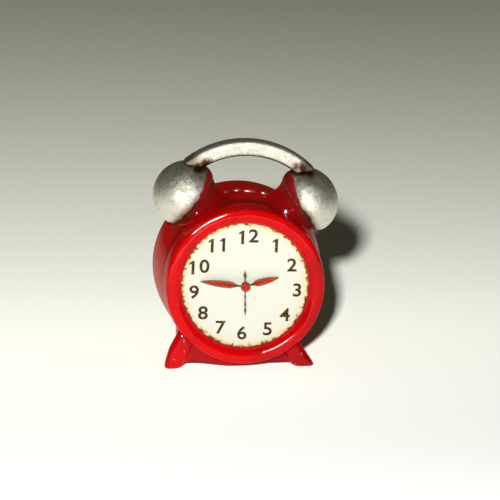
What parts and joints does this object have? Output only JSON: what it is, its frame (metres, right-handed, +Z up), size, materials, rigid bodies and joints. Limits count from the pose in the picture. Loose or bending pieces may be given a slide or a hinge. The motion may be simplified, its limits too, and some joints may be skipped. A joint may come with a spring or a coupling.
{
  "type": "miniature alarm clock",
  "caption": "Miniature twin-bell alarm clock with a round drum case, arched carrying handle, splayed feet, hands set by rear knobs and a small stepping movement.",
  "frame": {"origin": "centre of the bounding box at the level of the feet's soles", "axes": "+Z up, -Y out of the dial towards the viewer, +X to the viewer's right"},
  "size_m": [0.033, 0.0234, 0.0398],
  "materials": {
    "red_enamel": "gloss",
    "stand_enamel": "gloss",
    "worn_silver": "satin",
    "dial_cream": "satin",
    "hand_red": "satin",
    "alarm_hand_olive": "satin",
    "brass": "satin",
    "steel": "polished",
    "white_plastic": "matte",
    "black_plastic": "satin",
    "board_green": "gloss",
    "copper": "satin"
  },
  "bodies": {
    "case": {"case_shell": "red_enamel", "bezel_ring": "red_enamel", "back_cover": "red_enamel", "foot_stand": "stand_enamel", "left_stand_screw": "steel", "right_stand_screw": "steel", "left_bell": "worn_silver", "right_bell": "worn_silver", "left_bell_stud": "steel", "right_bell_stud": "steel", "handle": "worn_silver", "left_handle_pin": "steel", "right_handle_pin": "steel", "dial_plate": "dial_cream", "stator_plate": "steel", "coil_core": "steel", "coil_winding": "copper", "front_plate": "brass", "rear_plate": "brass", "plate_pillar_1": "brass", "plate_pillar_2": "brass", "plate_pillar_3": "brass", "circuit_board": "board_green", "movement_ring": "white_plastic", "battery_cell": "steel", "battery_holder": "black_plastic", "battery_spring": "steel", "sounder_disc": "brass"},
    "minutes": {"minute_arbor": "steel", "cannon_pinion": "steel", "minute_hand": "hand_red", "centre_cap": "hand_red"},
    "hours": {"hour_pipe": "brass", "hour_wheel": "brass", "hour_hand": "hand_red"},
    "time_setting": {"setting_arbor": "steel", "minute_wheel": "brass", "minute_pinion": "steel", "time_set_knob": "black_plastic"},
    "alarm_time": {"alarm_pipe": "brass", "alarm_wheel": "brass", "alarm_hand": "alarm_hand_olive"},
    "alarm_setting": {"alarm_set_arbor": "steel", "alarm_set_pinion": "steel", "alarm_set_knob": "black_plastic"},
    "rotor": {"rotor_arbor": "steel", "rotor_pinion": "steel", "rotor_magnet": "steel"},
    "intermediate": {"intermediate_arbor": "steel", "intermediate_pinion": "steel", "intermediate_wheel": "brass"},
    "third": {"third_arbor": "steel", "third_pinion": "steel", "third_wheel": "brass"},
    "centre": {"centre_wheel": "brass"},
    "switch": {"alarm_switch": "black_plastic"},
    "hatch": {"battery_hatch": "black_plastic"}
  },
  "joints": [
    {"name": "minute_hand_turn", "type": "hinge", "parent": "case", "child": "minutes", "pos_m": [-0.00098, -0.0101, 0.0153], "axis": [0, 1, 0], "continuous": true},
    {"name": "hour_hand_turn", "type": "hinge", "parent": "case", "child": "hours", "pos_m": [-0.00098, -0.0101, 0.0153], "axis": [0, 1, 0], "continuous": true},
    {"name": "time_setting_turn", "type": "hinge", "parent": "case", "child": "time_setting", "pos_m": [-0.00396, -0.0101, 0.01731], "axis": [0, 1, 0], "continuous": true},
    {"name": "alarm_hand_turn", "type": "hinge", "parent": "case", "child": "alarm_time", "pos_m": [-0.00098, -0.0101, 0.0153], "axis": [0, 1, 0], "continuous": true},
    {"name": "alarm_setting_turn", "type": "hinge", "parent": "case", "child": "alarm_setting", "pos_m": [0.00305, -0.0101, 0.01726], "axis": [0, 1, 0], "continuous": true},
    {"name": "rotor_turn", "type": "hinge", "parent": "case", "child": "rotor", "pos_m": [0.00268, -0.0101, 0.02016], "axis": [0, 1, 0], "continuous": true},
    {"name": "intermediate_turn", "type": "hinge", "parent": "case", "child": "intermediate", "pos_m": [0.00012, -0.0101, 0.0208], "axis": [0, 1, 0], "continuous": true},
    {"name": "third_turn", "type": "hinge", "parent": "case", "child": "third", "pos_m": [-0.00133, -0.0101, 0.01864], "axis": [0, 1, 0], "continuous": true},
    {"name": "centre_wheel_turn", "type": "hinge", "parent": "case", "child": "centre", "pos_m": [-0.00098, -0.0101, 0.0153], "axis": [0, 1, 0], "continuous": true},
    {"name": "alarm_switch_slide", "type": "slide", "parent": "case", "child": "switch", "axis": [-0.0698, 0, -0.9976], "range_m": [0, 0.002]},
    {"name": "battery_hatch_turn", "type": "hinge", "parent": "case", "child": "hatch", "pos_m": [-0.00143, -0.0101, 0.00892], "axis": [0, 1, 0], "range_deg": [0, 60]}
  ],
  "couplings": [
    {"joint": "hour_hand_turn", "follows": "minute_hand_turn", "ratio": 0.083333},
    {"joint": "time_setting_turn", "follows": "minute_hand_turn", "ratio": -0.33333},
    {"joint": "alarm_setting_turn", "follows": "alarm_hand_turn", "ratio": -1.8},
    {"joint": "rotor_turn", "follows": "intermediate_turn", "ratio": -4.5},
    {"joint": "third_turn", "follows": "intermediate_turn", "ratio": -0.25},
    {"joint": "centre_wheel_turn", "follows": "intermediate_turn", "ratio": 0.05}
  ]
}
